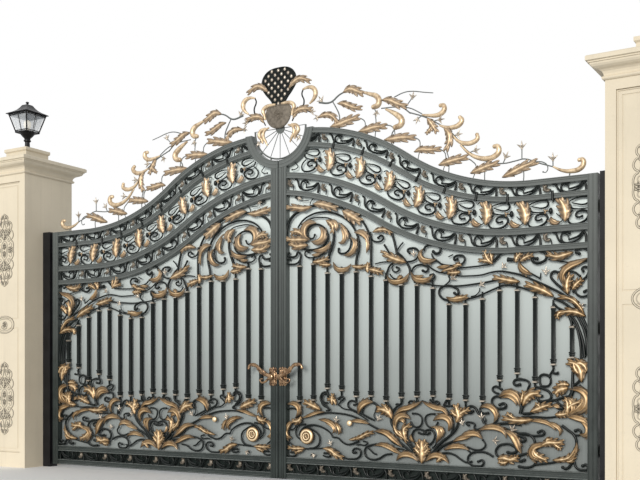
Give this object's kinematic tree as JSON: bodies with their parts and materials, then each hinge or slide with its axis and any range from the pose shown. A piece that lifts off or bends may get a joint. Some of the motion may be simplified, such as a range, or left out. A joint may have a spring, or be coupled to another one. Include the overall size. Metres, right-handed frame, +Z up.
{
  "type": "wrought iron driveway gate with piers",
  "caption": "Double-leaf swan-necked wrought iron driveway gate with gilded scrollwork and a ring crest, hung between square masonry piers with lanterns.",
  "frame": {"origin": "centre of the left pier's base, on the ground", "axes": "+X along the gate from the left pier to the right pier, +Y through the gate towards the drive, +Z up"},
  "size_m": [7.3, 0.86, 3.823],
  "materials": {
    "stone": "rendered masonry, matt",
    "frame_paint": "satin grey-green paint",
    "bar_paint": "satin near-black paint",
    "gilding": "aged gilding with dark recesses",
    "sheet": "satin light grey sheet",
    "lantern_black": "semi-gloss black",
    "lantern_glass": "clear glass, dusty",
    "handle_bronze": "worn bronze",
    "shield_bronze": "dull brown-grey"
  },
  "bodies": {
    "root": {"left_pier": "stone", "left_pier_cap": "stone", "left_lantern_frame": "lantern_black", "left_lantern_glass": "lantern_glass", "left_hinge_post": "bar_paint", "right_pier": "stone", "right_pier_cap": "stone", "right_lantern_frame": "lantern_black", "right_lantern_glass": "lantern_glass", "right_hinge_post": "bar_paint"},
    "left_leaf": {"left_hinge_stile": "frame_paint", "left_meeting_stile": "frame_paint", "left_cradle": "frame_paint", "left_swan_neck_rails": "frame_paint", "left_base_rails": "frame_paint", "left_backing_sheet": "sheet", "left_bars": "bar_paint", "left_top_friezes": "bar_paint", "left_base_frieze": "bar_paint", "left_acanthus_band": "gilding", "left_upper_scrolls": "bar_paint", "left_upper_leaves": "gilding", "left_lower_scrolls": "bar_paint", "left_lower_leaves": "gilding", "left_crest": "gilding", "left_handle_plate": "handle_bronze", "crest_ring": "bar_paint", "crest_shell": "bar_paint", "crest_shield": "shield_bronze", "crest_leaves": "gilding"},
    "right_leaf": {"right_hinge_stile": "frame_paint", "right_meeting_stile": "frame_paint", "right_cradle": "frame_paint", "right_swan_neck_rails": "frame_paint", "right_base_rails": "frame_paint", "right_backing_sheet": "sheet", "right_bars": "bar_paint", "right_top_friezes": "bar_paint", "right_base_frieze": "bar_paint", "right_acanthus_band": "gilding", "right_upper_scrolls": "bar_paint", "right_upper_leaves": "gilding", "right_lower_scrolls": "bar_paint", "right_lower_leaves": "gilding", "right_crest": "gilding", "right_handle_plate": "handle_bronze"},
    "left_handle": {"left_lever": "handle_bronze"},
    "right_handle": {"right_lever": "handle_bronze"}
  },
  "joints": [
    {"name": "left_leaf_swing", "type": "hinge", "parent": "root", "child": "left_leaf", "pos_m": [0.43, 0.045, 1.2], "axis": [0, 0, 1], "range_deg": [0, 90]},
    {"name": "right_leaf_swing", "type": "hinge", "parent": "root", "child": "right_leaf", "pos_m": [6.01, 0.045, 1.2], "axis": [0, 0, -1], "range_deg": [0, 90]},
    {"name": "left_lever_turn", "type": "hinge", "parent": "left_leaf", "child": "left_handle", "pos_m": [3.1765, -0.09, 0.92], "axis": [0, -1, 0], "range_deg": [0, 40], "stiffness_Nm_per_rad": 4, "springref_deg": -34.38},
    {"name": "right_lever_turn", "type": "hinge", "parent": "right_leaf", "child": "right_handle", "pos_m": [3.2635, -0.09, 0.92], "axis": [0, 1, 0], "range_deg": [0, 40], "stiffness_Nm_per_rad": 4, "springref_deg": -34.38}
  ]
}
